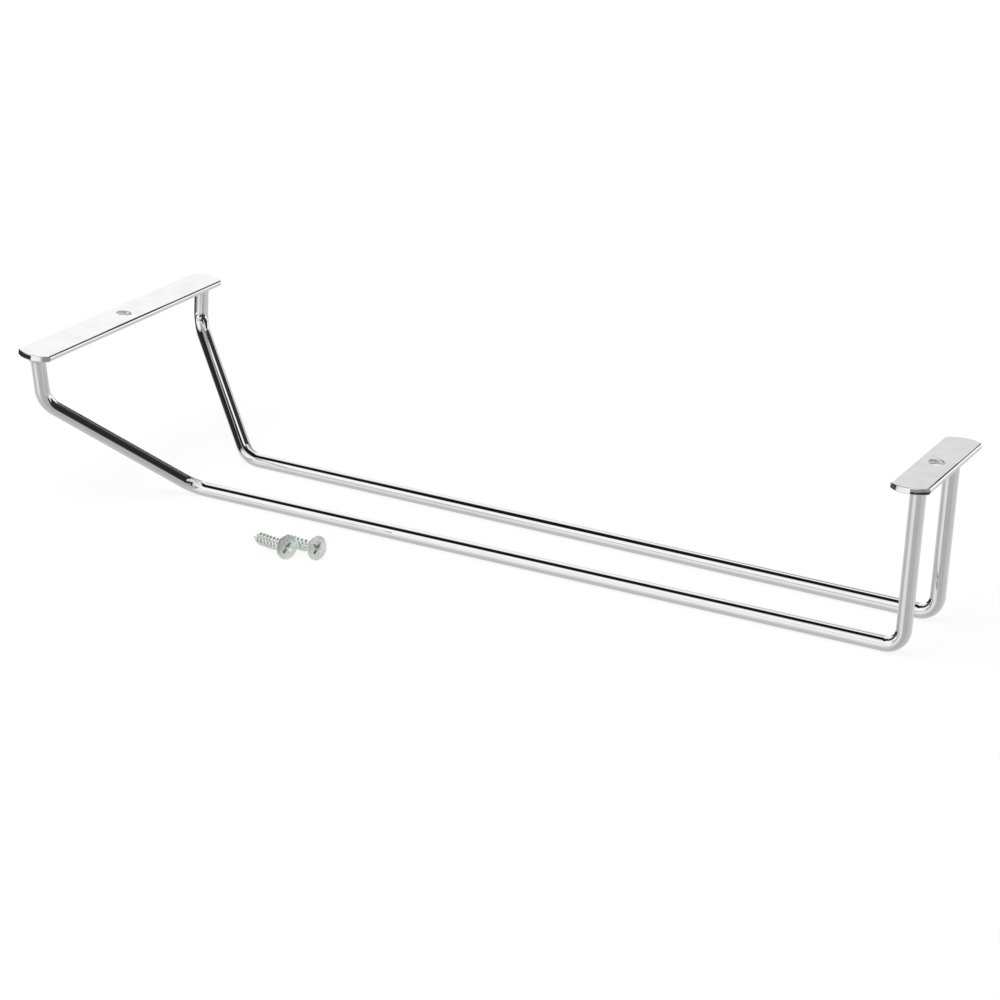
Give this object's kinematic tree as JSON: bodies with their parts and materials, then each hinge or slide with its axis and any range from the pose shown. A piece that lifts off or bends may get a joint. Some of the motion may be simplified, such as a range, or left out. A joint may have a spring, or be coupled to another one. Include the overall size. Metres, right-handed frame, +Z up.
{
  "type": "hanging wine glass rack",
  "caption": "Chromed wire rack that screws under a shelf and holds stemmed glasses by their feet between two rails, with a flared mouth and a closed back.",
  "frame": {"origin": "on the surface that the rails stand on, below the middle of the rack", "axes": "+X along the rails from the open mouth to the closed back, +Y to the left rail, +Z up from the rails to the mounting plates"},
  "size_m": [0.3048, 0.113, 0.0581],
  "materials": {
    "mouth_plate": "bright chrome plate on steel strip",
    "back_plate": "bright chrome plate on steel strip",
    "left_rail": "bright chrome plate on steel wire",
    "right_rail": "bright chrome plate on steel wire",
    "mouth_weld_left": "chrome plate over a weld bead",
    "mouth_weld_right": "chrome plate over a weld bead",
    "back_weld_left": "chrome plate over a weld bead",
    "back_weld_right": "chrome plate over a weld bead",
    "mouth_screw": "clear zinc plate",
    "back_screw": "clear zinc plate"
  },
  "bodies": {
    "root": {"mouth_plate": "mouth_plate", "back_plate": "back_plate", "left_rail": "left_rail", "right_rail": "right_rail", "mouth_weld_left": "mouth_weld_left", "mouth_weld_right": "mouth_weld_right", "back_weld_left": "back_weld_left", "back_weld_right": "back_weld_right", "mouth_screw": "mouth_screw", "back_screw": "back_screw"}
  },
  "joints": []
}
